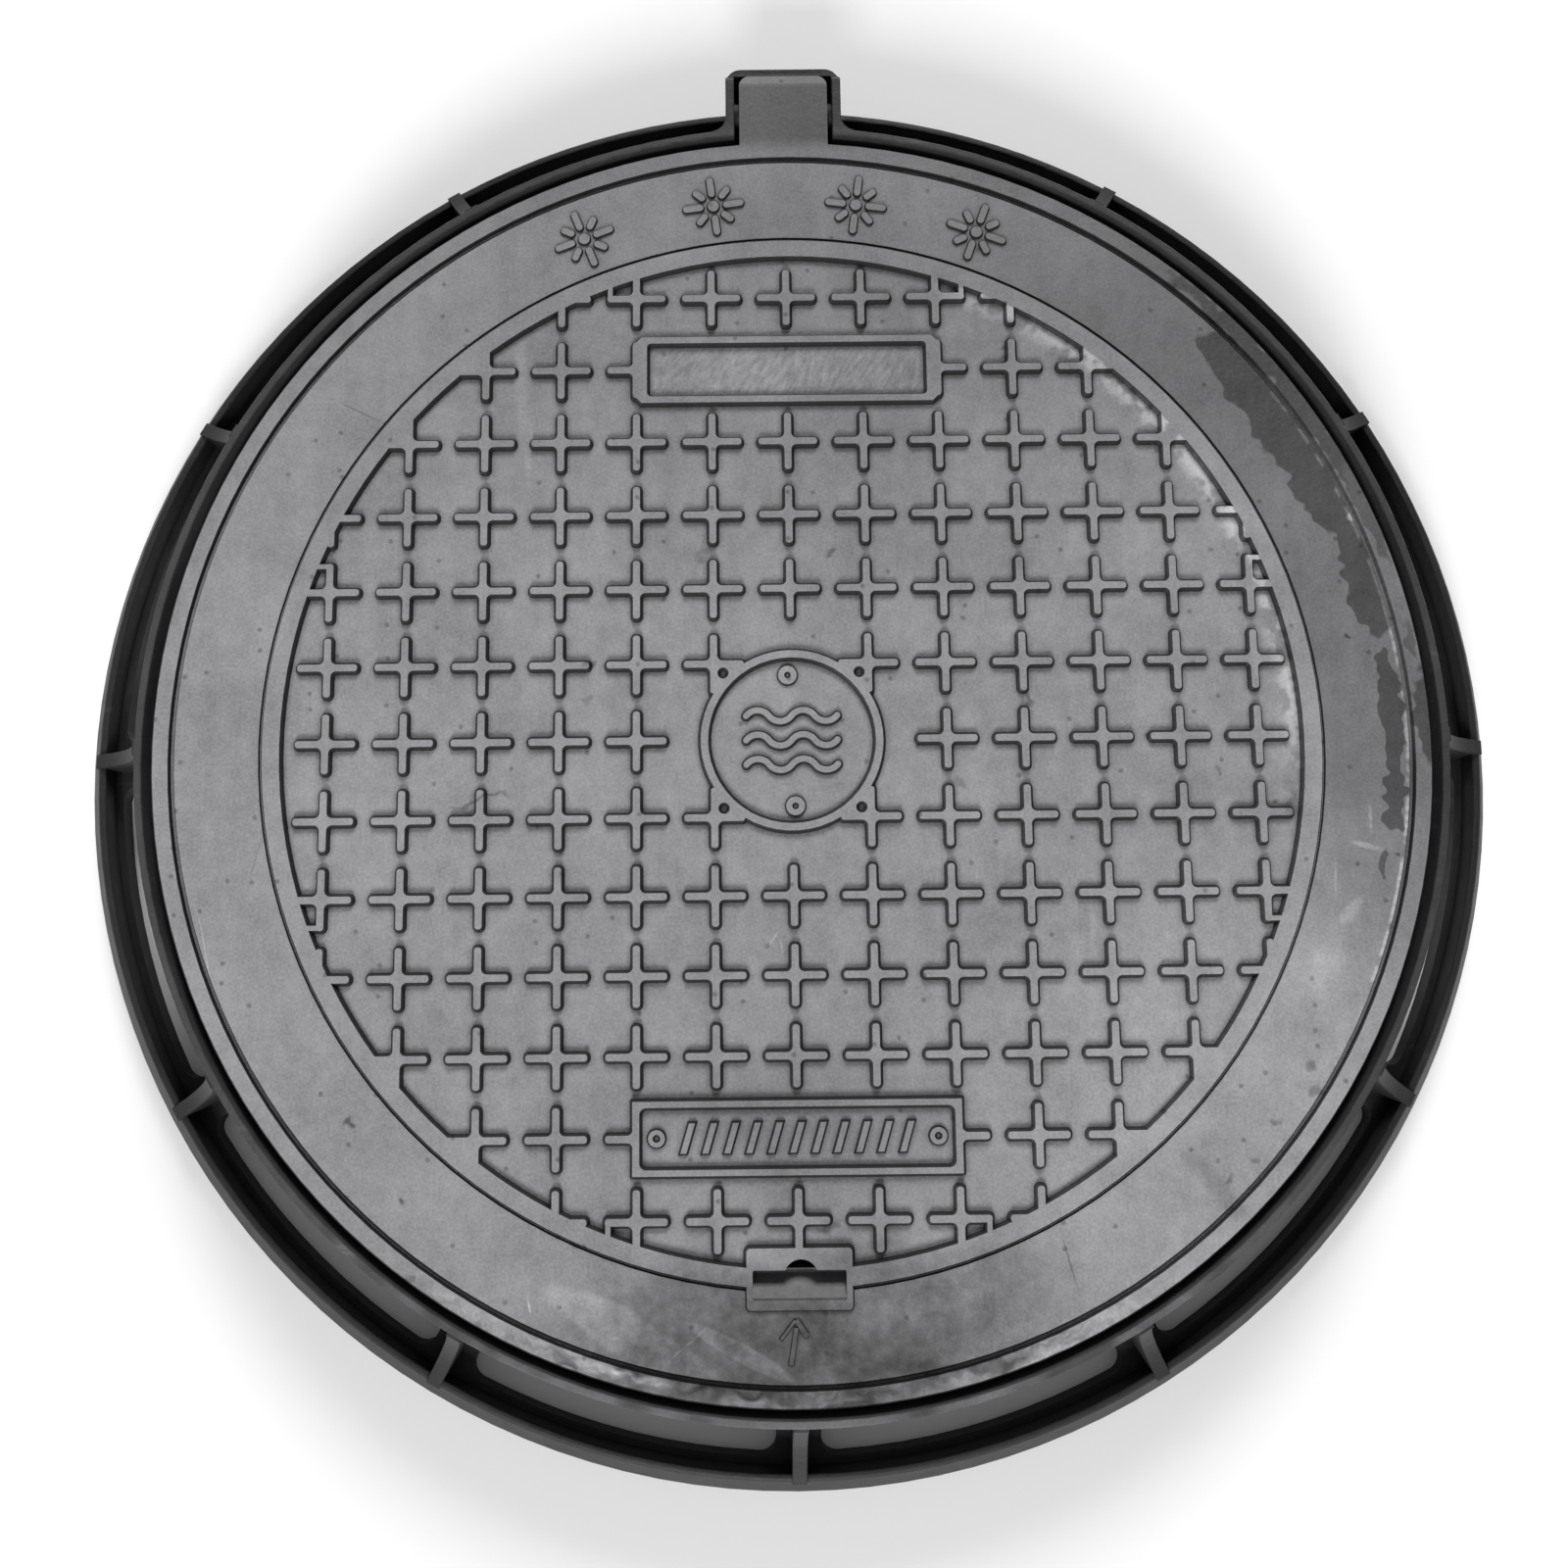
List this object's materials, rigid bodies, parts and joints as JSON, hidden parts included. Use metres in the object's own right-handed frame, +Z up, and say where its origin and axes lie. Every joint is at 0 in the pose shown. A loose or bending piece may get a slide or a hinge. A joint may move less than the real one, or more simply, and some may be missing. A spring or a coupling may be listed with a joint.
{
  "type": "round hinged access cover with frame",
  "caption": "Round cast-iron chamber cover with raised cross relief, hinged by a rear tongue in a flanged, gusseted ring frame with a rubber seat and a spring lock.",
  "frame": {"origin": "on the cover's axis, at the underside of the base flange", "axes": "+Z up out of the cover's walking face, +Y towards the hinge, +X to the right with the hinge at the back"},
  "size_m": [0.828, 0.828, 0.08],
  "materials": {
    "frame_iron": "black bitumen dip over sand-cast iron, semi-matt",
    "cover_iron": "thin black dip with a grey sheen over fine sand-cast iron, scuffed",
    "rubber": "matt black",
    "pin_steel": "drawn bar, dull",
    "spring_steel": "blue-black tempered strip",
    "fastener_steel": "zinc plated"
  },
  "bodies": {
    "frame_body": {"frame": "frame_iron", "seat_gasket": "rubber", "hinge_pin": "pin_steel"},
    "cover_body": {"cover": "cover_iron", "lock_spring": "spring_steel", "lock_bolts": "fastener_steel", "lock_washers": "fastener_steel"}
  },
  "joints": [
    {"name": "cover_hinge", "type": "hinge", "parent": "frame_body", "child": "cover_body", "pos_m": [0, 0.374, 0.066], "axis": [-1, 0, 0], "range_deg": [0, 110], "deforming": ["lock_spring"]}
  ]
}
